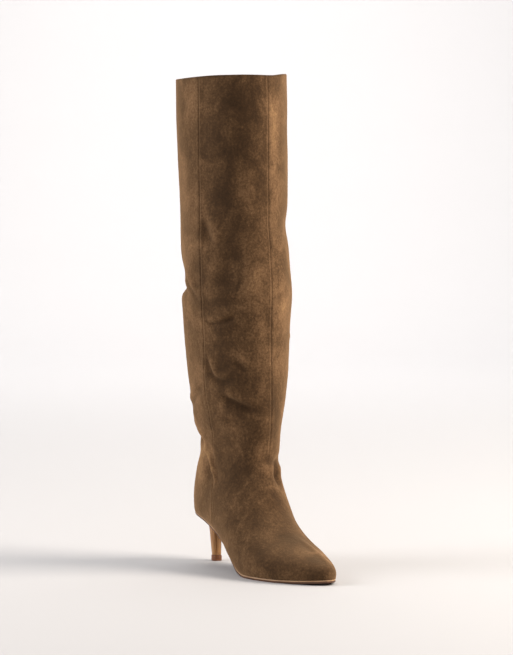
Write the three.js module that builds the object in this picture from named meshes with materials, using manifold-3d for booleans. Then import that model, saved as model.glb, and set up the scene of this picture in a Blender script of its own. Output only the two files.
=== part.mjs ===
// Knee-high boot for the right foot: soft suede upper with a pointed toe, thin sole and slim raised heel.
// Millimetres. +X runs from the heel to the toe, +Y to the inner side of the leg, +Z up, and the floor is Z 0.
import * as THREE from "three";
import { mergeVertices } from "three/addons/utils/BufferGeometryUtils.js";
import Module from "manifold-3d";

const wasm = await Module();
wasm.setup();

// Driving dimensions of the boot, outside sizes unless a name says otherwise.
const footLength = 250;        // back of the counter to the tip of the toe
const ballWidth = 88;          // across the widest part of the forefoot
const instepHeight = 100;      // top of the instep above the floor
const seatHeight = 60;         // underside of the upper at the back of the heel
const seatPitchDegrees = 10;   // slope of the seat down towards the arch
const toeSpring = 3;           // rise of the toe above the tread
const ankleHeight = 219;       // foot of the leg part, above the ankle, at its middle
const backHeight = 525;        // back of the collar above the floor
const collarRise = 6;          // the front of the collar stands this much above its back
const collarWidth = 113;       // side to side at the collar
const wall = 1.8;              // suede with its backing and lining
const seamHeight = 0.5;        // how far a lapped seam stands up
const seamWidth = 3.2;         // across a lapped seam
const frontSeamOffset = 4.5;   // the front seam runs this far to the inner side of the middle
const lastingMargin = 9;       // the upper is turned in this far under the foot
const treadThickness = 3;      // outsole under the ball
const waistThickness = 2.2;    // outsole under the arch and the seat
const soleInset = 0.4;         // the outsole stops this far inside the edge of the upper
const insoleThickness = 2;
const topLiftHeight = 6;       // wearing piece under the heel
const topLiftEdge = 0.6;       // the wearing piece stands out this far round the heel
const heelTipLength = 10.6;    // front to back at the foot of the heel
const heelTipWidth = 9;        // side to side at the foot of the heel
const heelTopLength = 18;      // front to back under the seat
const heelTopWidth = 15.5;     // side to side under the seat
const heelTipSetback = 21.3;   // middle of the foot of the heel, ahead of the back edge of the sole
const heelTopSetback = 17;     // middle of the top of the heel, ahead of the back edge of the sole
const heelOut = 1;             // the heel stands this far to the outer side
const clearance = 0.3;         // between pieces that touch

// Where the tread lies flat on the floor and where the seat ends, as shares of the foot's length.
const treadBack = 0.62;
const treadFront = 0.76;
const seatFront = 0.12;

// Rows round the boot from the toe to the collar. Each row is one slice through the boot, which fans from upright
// at the toe to level at the leg. The back point of a slice lies on the sole line or the back of the boot, the front
// point on the vamp or the front of the leg.
//   back, front  distance of the two points from the back of the counter, shares of footLength
//   backUp       height of the back point, share of instepHeight; the first rows run to the sole line instead
//   frontUp      height of the front point, share of instepHeight
//   outer, inner half widths, shares of half the ballWidth
//   shift        middle of the slice towards the inner side, share of ballWidth
//   widest       how far up the slice is widest, share of its height
//   crown, base  fullness of the part above and below the widest line; 2 is an ellipse
//   under        how far the slice runs on below the sole line, share of treadThickness
const footRows = [
  { back: 0.999, front: 1.000, frontUp: 0.115, outer: 0.048, inner: 0.048, shift: 0.044, widest: 0.50,
    crown: 2.0, base: 2.2, under: 1.4 },
  { back: 0.994, front: 0.998, frontUp: 0.130, outer: 0.105, inner: 0.105, shift: 0.043, widest: 0.50,
    crown: 2.0, base: 2.2, under: 1.5 },
  { back: 0.974, front: 0.987, frontUp: 0.180, outer: 0.239, inner: 0.239, shift: 0.040, widest: 0.48,
    crown: 2.0, base: 2.6, under: 2.0 },
  { back: 0.938, front: 0.959, frontUp: 0.220, outer: 0.391, inner: 0.382, shift: 0.034, widest: 0.46,
    crown: 2.0, base: 3.0, under: 2.6 },
  { back: 0.878, front: 0.912, frontUp: 0.266, outer: 0.601, inner: 0.554, shift: 0.025, widest: 0.45,
    crown: 1.95, base: 3.3, under: 3.0 },
  { back: 0.800, front: 0.850, frontUp: 0.320, outer: 0.811, inner: 0.725, shift: 0.013, widest: 0.44,
    crown: 1.9, base: 3.5, under: 3.2 },
  { back: 0.710, front: 0.780, frontUp: 0.384, outer: 0.974, inner: 0.888, shift: 0.002, widest: 0.42,
    crown: 1.85, base: 3.6, under: 3.2 },
  { back: 0.620, front: 0.711, frontUp: 0.463, outer: 1.040, inner: 0.955, shift: -0.004, widest: 0.40,
    crown: 1.8, base: 3.6, under: 3.2 },
  { back: 0.530, front: 0.649, frontUp: 0.563, outer: 1.031, inner: 0.935, shift: -0.004, widest: 0.40,
    crown: 1.8, base: 3.2, under: 3.0 },
  { back: 0.440, front: 0.594, frontUp: 0.684, outer: 0.993, inner: 0.888, shift: 0.000, widest: 0.41,
    crown: 1.85, base: 2.8, under: 2.7 },
  { back: 0.350, front: 0.551, frontUp: 0.833, outer: 0.945, inner: 0.878, shift: 0.008, widest: 0.42,
    crown: 1.9, base: 2.6, under: 2.6 },
  { back: 0.260, front: 0.517, frontUp: 0.984, outer: 0.907, inner: 0.869, shift: 0.015, widest: 0.42,
    crown: 1.95, base: 2.7, under: 2.9 },
  { back: 0.165, front: 0.494, frontUp: 1.113, outer: 0.878, inner: 0.878, shift: 0.021, widest: 0.42,
    crown: 2.0, base: 2.9, under: 3.4 },
];
// The same for the counter and the ankle.
const ankleRows = [
  { back: 0.066, backUp: 0.460, front: 0.489, frontUp: 1.245, outer: 0.850, inner: 0.907, shift: 0.027,
    widest: 0.42, crown: 2.0, base: 3.0 },
  { back: 0.012, backUp: 0.555, front: 0.492, frontUp: 1.375, outer: 0.821, inner: 0.907, shift: 0.032,
    widest: 0.43, crown: 2.0, base: 2.5 },
  { back: 0.000, backUp: 0.710, front: 0.496, frontUp: 1.505, outer: 0.821, inner: 0.916, shift: 0.038,
    widest: 0.44, crown: 2.0, base: 2.3 },
  { back: 0.014, backUp: 0.910, front: 0.498, frontUp: 1.635, outer: 0.830, inner: 0.926, shift: 0.040,
    widest: 0.45, crown: 2.0, base: 2.1 },
  { back: 0.053, backUp: 1.140, front: 0.499, frontUp: 1.760, outer: 0.850, inner: 0.945, shift: 0.042,
    widest: 0.47, crown: 2.0, base: 2.0 },
  { back: 0.062, backUp: 1.380, front: 0.498, frontUp: 1.890, outer: 0.955, inner: 1.002, shift: 0.044,
    widest: 0.48, crown: 2.0, base: 2.0 },
  { back: 0.026, backUp: 1.640, front: 0.497, frontUp: 2.020, outer: 1.060, inner: 1.069, shift: 0.046,
    widest: 0.49, crown: 2.0, base: 2.0 },
  { back: 0.006, backUp: 1.910, front: 0.495, frontUp: 2.160, outer: 1.126, inner: 1.126, shift: 0.048,
    widest: 0.50, crown: 2.0, base: 2.0 },
];
// Rows of the leg: level is the share of the way from ankleHeight to the collar, back and front as above, slope the
// rise of the row towards the front, and width a share of collarWidth. The leg stands legShift of the ballWidth
// towards the inner side.
const legShift = 0.048;
const legRows = [
  { level: 0.00, slope: 0.09, back: -0.008, front: 0.493, width: 0.9 },
  { level: 0.12, slope: 0.03, back: -0.023, front: 0.494, width: 0.945 },
  { level: 0.24, slope: 0.0, back: -0.035, front: 0.496, width: 0.98 },
  { level: 0.40, slope: 0.0, back: -0.050, front: 0.488, width: 0.985 },
  { level: 0.60, slope: 0.0, back: -0.068, front: 0.475, width: 0.98 },
  { level: 0.80, slope: 0.0, back: -0.082, front: 0.468, width: 0.99 },
  { level: 1.00, slope: 0.0, back: -0.088, front: 0.462, width: 1.0 },
];

// Sampling of the curved surfaces.
const footSteps = 3;           // slices between two rows of the foot, and below of the ankle and the leg
const ankleSteps = 2;
const legSteps = 1;
const frontSteps = 9;          // strips from the front seam to the side seam
const backSteps = 8;           // strips from the side seam to the back seam

const profileStep = 5;         // the sole line is straight between these distances

const lerp = THREE.MathUtils.lerp;
const smooth = THREE.MathUtils.smoothstep;

// Underside of the upper in side view: flat over the tread, up to the toe, and up the arch to the seat.
const treadLine = treadThickness + clearance;
const seatSlope = Math.tan(THREE.MathUtils.degToRad(seatPitchDegrees));
function soleCurve(x) {
  const front = treadFront * footLength;
  const back = treadBack * footLength;
  const seat = seatFront * footLength;
  if (x >= front) return treadLine + toeSpring * ((x - front) / (footLength - front)) ** 2;
  if (x >= back) return treadLine;
  const seatFrontHeight = seatHeight - seatSlope * seat;
  if (x <= seat) return seatHeight - seatSlope * x;
  const s = (back - x) / (back - seat);
  const rise = seatFrontHeight - treadLine;
  const endSlope = seatSlope * (back - seat);
  return treadLine + rise * s * s * (3 - 2 * s) + endSlope * s * s * (s - 1);
}
function soleLine(x) {
  const start = Math.floor(x / profileStep) * profileStep;
  return lerp(soleCurve(start), soleCurve(start + profileStep), (x - start) / profileStep);
}

// Every row in millimetres: back and front points in side view, half widths and the shape of the slice.
function footRow(r, backHeightOf) {
  const back = r.back * footLength;
  return {
    bx: back, bz: backHeightOf(r, back), fx: r.front * footLength, fz: r.frontUp * instepHeight,
    outer: r.outer * ballWidth / 2, inner: r.inner * ballWidth / 2, shift: r.shift * ballWidth,
    widest: r.widest, crown: r.crown, base: r.base, leg: 0,
  };
}
const rows = [
  ...footRows.map((r) => footRow(r, (row, back) => soleLine(back) - row.under * treadThickness)),
  ...ankleRows.map((r) => footRow(r, (row) => row.backUp * instepHeight)),
  ...legRows.map((r) => {
    const z = lerp(ankleHeight, backHeight, r.level);
    const [bx, fx] = [r.back * footLength, r.front * footLength];
    const tilt = r.slope * (fx - bx) / 2;
    const half = r.width * collarWidth / 2;
    return {
      bx, bz: z - tilt, fx, fz: z + tilt, outer: half, inner: half, shift: legShift * ballWidth,
      widest: 0.5, crown: 2, base: 2, leg: r.level,
    };
  }),
];

// One value of the rows at row number t, on a smooth curve through the rows.
function rowValue(name, t) {
  const last = rows.length - 1;
  const i = Math.min(Math.floor(t), last - 1);
  const f = t - i;
  const at = (k) => rows[Math.min(Math.max(k, 0), last)][name];
  const [a, b, c, d] = [at(i - 1), at(i), at(i + 1), at(i + 2)];
  return b + 0.5 * f * (c - a + f * (2 * a - 5 * b + 4 * c - d + f * (3 * (b - c) + d - a)));
}

// The slice at row number t, as points by share of the way round one half: 0 at the front, 1 at the back.
const sliceSteps = 96;
function slice(t) {
  const [bx, bz, fx, fz, outer, inner, shift, widest, crown, base, leg] =
    ["bx", "bz", "fx", "fz", "outer", "inner", "shift", "widest", "crown", "base", "leg"]
      .map((name) => rowValue(name, t));
  const half = (outer + inner) / 2;
  const points = [];
  const lengths = [0];
  for (let i = 0; i <= sliceSteps; i += 1) {
    const angle = Math.PI * i / sliceSteps;
    const upper = angle <= Math.PI / 2;
    const power = 2 / (upper ? crown : base);
    const along = Math.abs(Math.cos(angle)) ** power;
    const up = upper ? widest + (1 - widest) * along : widest * (1 - along);
    const across = Math.abs(Math.sin(angle)) ** power;
    points.push([lerp(bx, fx, up), across * half, lerp(bz, fz, up)]);
    if (i > 0) {
      const [p, q] = [points[i - 1], points[i]];
      lengths.push(lengths[i - 1] + Math.hypot(p[0] - q[0], p[1] - q[1], p[2] - q[2]));
    }
  }
  return { points, lengths, girth: lengths[sliceSteps], outer: outer / half, inner: inner / half, shift, leg };
}

// The side seam by row: share of the way round each half, from the front. It rises from the arch just ahead of the
// heel, runs up behind the ankle bone and a little forward of the middle of the leg.
const seamPath = [
  { row: 0, share: 0.78 }, { row: 10.9, share: 0.79 }, { row: 11.5, share: 0.59 }, { row: 12.2, share: 0.50 },
  { row: 13, share: 0.45 }, { row: 14.5, share: 0.425 }, { row: 16, share: 0.455 }, { row: 17.5, share: 0.49 },
  { row: 19, share: 0.452 }, { row: 21, share: 0.42 }, { row: 27, share: 0.386 },
];
const seamStart = seamPath[1].row;
const vampRow = 12;            // the vamp is one piece; the front seam starts above it
function sideSeam(t) {
  let i = 1;
  while (i < seamPath.length - 1 && seamPath[i].row < t) i += 1;
  const [a, b] = [seamPath[i - 1], seamPath[i]];
  return lerp(a.share, b.share, (t - a.row) / (b.row - a.row));
}

// A point of the base surface; side is -1 on the outer and 1 on the inner half.
function basePoint(cut, share, side) {
  const target = Math.min(Math.max(share, 0), 1) * cut.girth;
  let k = 1;
  while (k < sliceSteps && cut.lengths[k] < target) k += 1;
  const [p, q] = [cut.points[k - 1], cut.points[k]];
  const f = (target - cut.lengths[k - 1]) / (cut.lengths[k] - cut.lengths[k - 1]);
  const across = side * lerp(p[1], q[1], f) * (side < 0 ? cut.outer : cut.inner);
  const point = new THREE.Vector3(lerp(p[0], q[0], f), across + cut.shift, lerp(p[2], q[2], f));
  point.z += collarRise * cut.leg ** 2 * (1 - smooth(share, 0, 0.8));
  return point;
}

// Shares of the way round at which the surface is sampled, with three close lines at each seam.
function roundShares(t, girth) {
  const seam = sideSeam(t);
  const edge = seamWidth / 2 / girth;
  const shares = [0, edge];
  for (let i = 1; i < frontSteps; i += 1) shares.push(lerp(edge, seam - edge, i / frontSteps));
  shares.push(seam - edge, seam, seam + edge);
  for (let i = 1; i < backSteps; i += 1) shares.push(lerp(seam + edge, 1 - edge, i / backSteps));
  shares.push(1 - edge, 1);
  return shares;
}

// The strips in front of the side seams are moved round so that the front seam lies off the middle.
function turnedPoint(cut, t, share, side) {
  const offset = frontSeamOffset / cut.girth * smooth(t, vampRow - 2, vampRow + 1);
  const around = side * share + offset * Math.max(1 - share / sideSeam(t), 0);
  return basePoint(cut, Math.abs(around), around < 0 || (around === 0 && side < 0) ? -1 : 1);
}

// Height of the lapped seams above the surface: front and back of the leg, and both sides.
function seamRise(t, share, girth) {
  const gap = Math.min(share, Math.abs(share - sideSeam(t)), 1 - share) * girth;
  const plain = share > 0.5 ? t < seamStart : share < 0.1 && t < vampRow;
  return plain || gap > seamWidth / 4 ? 0 : seamHeight;
}

// Rings of the form, moved in by inset; the outside has the seams.
const lastRow = rows.length - 1;
function ringPlaces() {
  const places = [];
  for (let row = 0; row < lastRow; row += 1) {
    const steps = row <= footRows.length ? footSteps : row < lastRow - legRows.length + 2 ? ankleSteps : legSteps;
    for (let i = 0; i < steps; i += 1) places.push(row + i / steps);
  }
  return [...places, lastRow];
}
function rings(inset) {
  const made = [];
  const step = 1e-3;
  for (const t of ringPlaces()) {
    const cut = slice(t);
    const [before, after] = [slice(Math.max(t - step, 0)), slice(Math.min(t + step, lastRow))];
    const shares = roundShares(t, cut.girth);
    const place = (share, side) => {
      const at = (where, s) => turnedPoint(where, t, s, side);
      const point = at(cut, share);
      const along = at(after, share).sub(at(before, share));
      const around = at(cut, share + step).sub(at(cut, share - step));
      if (share > 1 - step) around.set(0, -side, 0);
      const normal = around.cross(along).multiplyScalar(side).normalize();
      const rise = inset > 0 ? 0 : seamRise(t, share, cut.girth);
      return point.addScaledVector(normal, rise - inset);
    };
    const outer = shares.map((share) => place(share, -1));
    const inner = shares.slice(1, -1).map((share) => place(share, 1)).reverse();
    made.push([...outer, ...inner]);
  }
  return made;
}

// A closed skin over rings of equal count, with a cap at each end.
function skin(loops) {
  const count = loops[0].length;
  const position = [];
  const index = [];
  for (const loop of loops) for (const p of loop) position.push(p.x, p.y, p.z);
  for (let i = 0; i + 1 < loops.length; i += 1) {
    for (let j = 0; j < count; j += 1) {
      const [a, b] = [i * count + j, i * count + (j + 1) % count];
      index.push(a, b, b + count, a, b + count, a + count);
    }
  }
  for (const [loop, start, turned] of [[loops[0], 0, true], [loops.at(-1), (loops.length - 1) * count, false]]) {
    const middle = loop.reduce((sum, p) => sum.add(p), new THREE.Vector3()).divideScalar(count);
    const hub = position.length / 3;
    position.push(middle.x, middle.y, middle.z);
    for (let j = 0; j < count; j += 1) {
      const [a, b] = [start + j, start + (j + 1) % count];
      index.push(...(turned ? [hub, b, a] : [hub, a, b]));
    }
  }
  const geometry = new THREE.BufferGeometry();
  geometry.setAttribute("position", new THREE.Float32BufferAttribute(position, 3));
  geometry.setIndex(index);
  return geometry;
}

function solidOf(geometry) {
  const bare = geometry.clone();
  bare.deleteAttribute("normal");
  bare.deleteAttribute("uv");
  const merged = mergeVertices(bare, 1e-4);
  const triVerts = new Uint32Array(merged.index.array);
  const build = () => new wasm.Manifold(new wasm.Mesh({
    numProp: 3, vertProperties: merged.attributes.position.array, triVerts,
  }));
  const made = build();
  if (made.volume() > 0) return made;
  for (let i = 0; i < triVerts.length; i += 3) triVerts.subarray(i, i + 2).reverse();
  return build();
}

function geometryOf(solid) {
  const mesh = solid.getMesh();
  const geometry = new THREE.BufferGeometry();
  geometry.setAttribute("position", new THREE.BufferAttribute(mesh.vertProperties, 3));
  geometry.setIndex(new THREE.BufferAttribute(mesh.triVerts, 1));
  return geometry;
}

// The space between two heights above the sole line, right across the boot.
function layer(lowOf, highOf) {
  const reach = 4 * profileStep;
  const xs = [];
  for (let x = -reach; x <= footLength + reach; x += profileStep) xs.push(x);
  const shape = new THREE.Shape([
    ...xs.map((x) => new THREE.Vector2(x, soleLine(x) + lowOf(x))),
    ...xs.reverse().map((x) => new THREE.Vector2(x, soleLine(x) + highOf(x))),
  ]);
  const across = 2 * ballWidth;
  const geometry = new THREE.ExtrudeGeometry(shape, { depth: across, bevelEnabled: false });
  geometry.rotateX(Math.PI / 2);
  geometry.translate(0, across / 2, 0);
  return solidOf(geometry);
}

const far = 2 * backHeight;
const soleThickness = (x) =>
  lerp(waistThickness, treadThickness, smooth(x, seatFront * footLength, treadBack * footLength));

// The feather line, where the upper meets the sole, in plan: from the toe round one side to the middle of the back.
function featherLine(side) {
  const line = [];
  let t = 0;
  let cut = slice(t);
  while (basePoint(cut, 1, side).z < soleLine(basePoint(cut, 1, side).x)) {
    let share = 1;
    let point = basePoint(cut, share, side);
    while (point.z < soleLine(point.x)) {
      share -= 0.002;
      point = basePoint(cut, share, side);
    }
    line.push(new THREE.Vector2(point.x, point.y));
    t += 0.2;
    cut = slice(t);
  }
  const last = basePoint(cut, 1, side);
  line.push(new THREE.Vector2(last.x, last.y));
  return line;
}
const feather = { outer: featherLine(-1), inner: featherLine(1) };

// The feather line moved in, still from toe to back; points that fall on the other side are left out.
function innerLine(line, side, inset) {
  return line.map((point, i) => {
    const run = line[Math.min(i + 1, line.length - 1)].clone().sub(line[Math.max(i - 1, 0)]).normalize();
    if (i === line.length - 1) run.set(0, -side);
    return new THREE.Vector2(point.x - side * run.y * inset, point.y + side * run.x * inset);
  }).filter((p, i) => i === line.length - 1 || (side * (p.y - middleOf(p.x)) > 0.5));
}
const middleOf = (x) => footRows[0].shift * ballWidth * smooth(x, treadBack * footLength, footLength);

function widthAt(line, x) {
  let i = 1;
  while (i < line.length - 1 && line[i].x > x) i += 1;
  const f = (x - line[i - 1].x) / (line[i].x - line[i - 1].x);
  return lerp(line[i - 1].y, line[i].y, Math.min(Math.max(f, 0), 1));
}

// A plate that follows the sole: its edge is the feather line moved in by inset, low and high are its faces
// above the sole line.
const plateEnds = [0.2, 0.8, 1.8, 3.2, 5];
function plate(inset, lowOf, highOf) {
  const outer = innerLine(feather.outer, -1, inset);
  const inner = innerLine(feather.inner, 1, inset);
  const front = Math.min(outer[0].x, inner[0].x);
  const back = Math.max(outer.at(-1).x, inner.at(-1).x);
  const xs = [...plateEnds.map((gap) => front - gap), ...plateEnds.map((gap) => back + gap).reverse()];
  const [frontEnd, backEnd] = [xs[plateEnds.length - 1], xs[plateEnds.length]];
  for (let x = 0; x < footLength; x += profileStep) if (x < frontEnd - 1 && x > backEnd + 1) xs.push(x);
  xs.sort((p, q) => q - p);
  return solidOf(skin(xs.map((x) => {
    const [low, high] = [soleLine(x) + lowOf(x), soleLine(x) + highOf(x)];
    const [right, left] = [widthAt(outer, x), widthAt(inner, x)];
    return [
      new THREE.Vector3(x, right, low), new THREE.Vector3(x, right, high),
      new THREE.Vector3(x, left, high), new THREE.Vector3(x, left, low),
    ];
  })));
}

// Upper: the form above the sole line, hollowed out, open at the collar and under the foot.
const outerForm = solidOf(skin(rings(0)));
const innerRings = rings(wall);
innerRings.push(innerRings.at(-1).map((p) => p.clone().add(new THREE.Vector3(0, 0, 4 * wall))));
const innerForm = solidOf(skin(innerRings));
const hollow = innerForm.intersect(layer(() => wall, () => far));
const opening = plate(lastingMargin, () => -wall, () => 2 * wall);
const upperSolid = outerForm.intersect(layer(() => 0, () => far)).subtract(hollow).subtract(opening);

// Outsole: full length, below the upper, a little inside its edge.
const outsoleSolid = plate(soleInset, (x) => -clearance - soleThickness(x), () => -clearance);

// Insole: lies on the turned-in margin and fills the opening down to the outsole.
const insoleSolid = plate(2 * wall, () => wall + clearance, () => wall + clearance + insoleThickness)
  .add(plate(lastingMargin + clearance, () => 0, () => wall + insoleThickness));

// Heel and its wearing piece: round at the back, flatter in front, drawn in from the seat to the foot.
const heelSteps = 28;
function heelRing(centre, length, width, z) {
  return Array.from({ length: heelSteps }, (_, i) => {
    const angle = 2 * Math.PI * i / heelSteps;
    const [c, s] = [Math.cos(angle), Math.sin(angle)];
    const power = c > 0 ? 2 / 3.4 : 1;
    return new THREE.Vector3(
      centre + Math.sign(c) * Math.abs(c) ** power * length / 2,
      Math.sign(s) * Math.abs(s) ** power * width / 2 - heelOut, z,
    );
  });
}
const heelTaper = [[0, 1], [0.2, 0.85], [0.35, 0.62], [0.5, 0.4], [0.7, 0.28], [0.85, 0.14], [1, 0]];
const heelFoot = topLiftHeight + clearance;
const soleBack = feather.outer.at(-1).x;
const [heelTipCentre, heelTopCentre] = [soleBack + heelTipSetback, soleBack + heelTopSetback];
const heelRings = heelTaper.map(([down, flare]) => heelRing(
  lerp(heelTipCentre, heelTopCentre, 1 - down),
  lerp(heelTipLength, heelTopLength, flare), lerp(heelTipWidth, heelTopWidth, flare),
  lerp(seatHeight, heelFoot, down),
)).reverse();
const heelSolid = solidOf(skin(heelRings))
  .intersect(layer(() => -far, (x) => -2 * clearance - soleThickness(x)));
const liftRing = (z) => heelRing(heelTipCentre, heelTipLength + 2 * topLiftEdge, heelTipWidth + 2 * topLiftEdge, z);
const topLiftSolid = solidOf(skin([liftRing(0), liftRing(topLiftHeight)]));

const group = new THREE.Group();
function add(name, solid, colour, roughness) {
  const material = new THREE.MeshStandardMaterial({ color: colour, roughness, metalness: 0 });
  const mesh = new THREE.Mesh(geometryOf(solid.translate([-heelTipCentre, 0, 0])), material);
  mesh.name = name;
  group.add(mesh);
}
add("upper", upperSolid, 0x6b4f36, 0.95);
add("outsole", outsoleSolid, 0xb98d62, 0.6);
add("insole", insoleSolid, 0xcbb28c, 0.8);
add("heel", heelSolid, 0x95653a, 0.5);
add("top_lift", topLiftSolid, 0x5f3620, 0.6);

export default group;
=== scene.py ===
# Knee-high suede boot for the right foot, empty, standing on its slim heel and the ball of its sole.
# Metres. +X runs to the toe, +Y to the inner side of the leg, the origin is under the heel.
import math
import bpy
import numpy as np
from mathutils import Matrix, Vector, noise


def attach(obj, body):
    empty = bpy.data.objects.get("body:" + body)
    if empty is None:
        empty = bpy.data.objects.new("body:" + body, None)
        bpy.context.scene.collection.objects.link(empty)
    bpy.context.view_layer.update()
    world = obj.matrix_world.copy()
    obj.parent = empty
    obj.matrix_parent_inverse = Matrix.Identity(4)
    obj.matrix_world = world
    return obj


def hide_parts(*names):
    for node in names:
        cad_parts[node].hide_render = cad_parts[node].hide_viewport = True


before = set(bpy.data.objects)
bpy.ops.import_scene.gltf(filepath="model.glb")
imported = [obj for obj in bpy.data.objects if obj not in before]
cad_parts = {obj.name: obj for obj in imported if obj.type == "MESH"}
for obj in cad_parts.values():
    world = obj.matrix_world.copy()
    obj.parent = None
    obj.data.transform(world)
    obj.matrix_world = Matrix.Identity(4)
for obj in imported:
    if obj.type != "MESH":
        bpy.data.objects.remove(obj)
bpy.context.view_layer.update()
mm = 0.001


# Camera
camera = {"azimuth": 60.0, "distance": 3.5, "height": 0.485, "lens": 176.9, "aimRight": 0.0432,
          "aimUp": 0.2553}

turn = math.radians(camera["azimuth"])
towards = Vector((math.sin(turn), -math.cos(turn), 0))
rightward = Vector((math.cos(turn), math.sin(turn), 0))
spot = towards * camera["distance"] + Vector((0, 0, camera["height"]))
aim = rightward * camera["aimRight"] + Vector((0, 0, camera["aimUp"]))
bpy.ops.object.camera_add(location=spot, rotation=(aim - spot).to_track_quat("-Z", "Y").to_euler())
eye = bpy.context.object
eye.data.lens = camera["lens"]
eye.data.clip_end = 50
bpy.context.scene.camera = eye
print("camera set")


# Small helpers
def enter(mode):
    bpy.ops.object.mode_set(mode=mode)


def pickOnly(obj):
    if bpy.context.mode != "OBJECT":
        enter("OBJECT")
    bpy.ops.object.select_all(action="DESELECT")
    obj.select_set(True)
    bpy.context.view_layer.objects.active = obj


def useModifier(obj, kind, **settings):
    pickOnly(obj)
    modifier = obj.modifiers.new(kind.title(), kind)
    for name, value in settings.items():
        setattr(modifier, name, value)
    bpy.ops.object.modifier_apply(modifier=modifier.name)


def layDown(obj):
    pickOnly(obj)
    bpy.ops.object.transform_apply(location=True, rotation=True, scale=True)


def setPoints(obj, points):
    obj.data.vertices.foreach_set("co", np.asarray(points, dtype=np.float32).ravel())
    obj.data.update()


def getPoints(obj):
    points = np.empty(len(obj.data.vertices) * 3, dtype=np.float32)
    obj.data.vertices.foreach_get("co", points)
    return points.reshape(-1, 3).astype(float)


def setReading(obj, name, values):  # a value at each point, which a material reads
    reading = obj.data.attributes.new(name, "FLOAT", "POINT")
    reading.data.foreach_set("value", values.astype(np.float32))


def turnFacesOut(obj):
    pickOnly(obj)
    enter("EDIT")
    bpy.ops.mesh.select_all(action="SELECT")
    bpy.ops.mesh.normals_make_consistent(inside=False)
    enter("OBJECT")


def roundEdges(obj, width, segments):
    useModifier(obj, "BEVEL", width=width, segments=segments, limit_method="ANGLE",
                angle_limit=math.radians(50))


def shadeSmooth(obj, angle):
    pickOnly(obj)
    bpy.ops.object.shade_smooth_by_angle(angle=math.radians(angle))


def smoothStep(value, low, high):
    s = np.clip((np.asarray(value, dtype=float) - low) / (high - low), 0, 1)
    return s * s * (3 - 2 * s)


def linear(hexColour):
    parts = [int(hexColour[i:i + 2], 16) / 255 for i in (1, 3, 5)]
    return [c / 12.92 if c <= 0.04045 else ((c + 0.055) / 1.055) ** 2.4 for c in parts] + [1.0]


# The form of the boot
form = {
    "footLength": 0.250, "ballWidth": 0.088, "instepHeight": 0.100,
    "seatHeight": 0.060, "seatPitch": 10.0, "toeSpring": 0.003,
    "legFoot": 0.219, "backHeight": 0.525, "collarRise": 0.006, "collarWidth": 0.113,
    "wall": 0.0018, "margin": 0.009, "clearance": 0.0003, "treadThick": 0.003, "waistThick": 0.0022,
    "treadBack": 0.62, "treadFront": 0.76, "seatFront": 0.12, "heelTip": 0.023004, "legShift": 0.048,
    "frontSeamOffset": 0.0045, "vampRow": 12,  # the front seam runs off the middle and stops above the vamp
}

# slices round the boot from the toe to the back of the arch, in shares of the sizes above: back, front,
# height of the front, outer and inner half width, shift inwards, widest, crown, base, depth under the sole
footRows = [
    (0.999, 1.000, 0.115, 0.048, 0.048, 0.044, 0.5, 2.0, 2.2, 1.4),
    (0.994, 0.998, 0.130, 0.105, 0.105, 0.043, 0.5, 2.0, 2.2, 1.5),
    (0.974, 0.987, 0.180, 0.239, 0.239, 0.040, 0.48, 2.0, 2.6, 2.0),
    (0.938, 0.959, 0.220, 0.391, 0.382, 0.034, 0.46, 2.0, 3.0, 2.6),
    (0.878, 0.912, 0.266, 0.601, 0.554, 0.025, 0.45, 1.95, 3.3, 3.0),
    (0.800, 0.850, 0.320, 0.811, 0.725, 0.013, 0.44, 1.9, 3.5, 3.2),
    (0.710, 0.780, 0.384, 0.974, 0.888, 0.002, 0.42, 1.85, 3.6, 3.2),
    (0.620, 0.711, 0.463, 1.040, 0.955, -0.004, 0.4, 1.8, 3.6, 3.2),
    (0.530, 0.649, 0.563, 1.031, 0.935, -0.004, 0.4, 1.8, 3.2, 3.0),
    (0.440, 0.594, 0.684, 0.993, 0.888, 0.000, 0.41, 1.85, 2.8, 2.7),
    (0.350, 0.551, 0.833, 0.945, 0.878, 0.008, 0.42, 1.9, 2.6, 2.6),
    (0.260, 0.517, 0.984, 0.907, 0.869, 0.015, 0.42, 1.95, 2.7, 2.9),
    (0.165, 0.494, 1.113, 0.878, 0.878, 0.021, 0.42, 2.0, 2.9, 3.4),
]
# counter and ankle: back and its height, front and its height, outer, inner, shift, widest, crown, base
ankleRows = [
    (0.066, 0.460, 0.489, 1.245, 0.850, 0.907, 0.027, 0.42, 2.0, 3.0),
    (0.012, 0.555, 0.492, 1.375, 0.821, 0.907, 0.032, 0.43, 2.0, 2.5),
    (0.000, 0.710, 0.496, 1.505, 0.821, 0.916, 0.038, 0.44, 2.0, 2.3),
    (0.014, 0.910, 0.498, 1.635, 0.830, 0.926, 0.040, 0.45, 2.0, 2.1),
    (0.053, 1.140, 0.499, 1.760, 0.850, 0.945, 0.042, 0.47, 2.0, 2.0),
    (0.062, 1.380, 0.498, 1.890, 0.955, 1.002, 0.044, 0.48, 2.0, 2.0),
    (0.026, 1.640, 0.497, 2.020, 1.060, 1.069, 0.046, 0.49, 2.0, 2.0),
    (0.006, 1.910, 0.495, 2.160, 1.126, 1.126, 0.048, 0.5, 2.0, 2.0),
]
# leg: share of the way up, slope, back, front, width
legRows = [
    (0.0, 0.09, -0.008, 0.493, 0.90), (0.12, 0.03, -0.023, 0.494, 0.945), (0.24, 0.0, -0.035, 0.496, 0.98),
    (0.40, 0.0, -0.050, 0.488, 0.985), (0.60, 0.0, -0.068, 0.475, 0.98), (0.80, 0.0, -0.082, 0.468, 0.99),
    (1.00, 0.0, -0.088, 0.462, 1.0),
]
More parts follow.
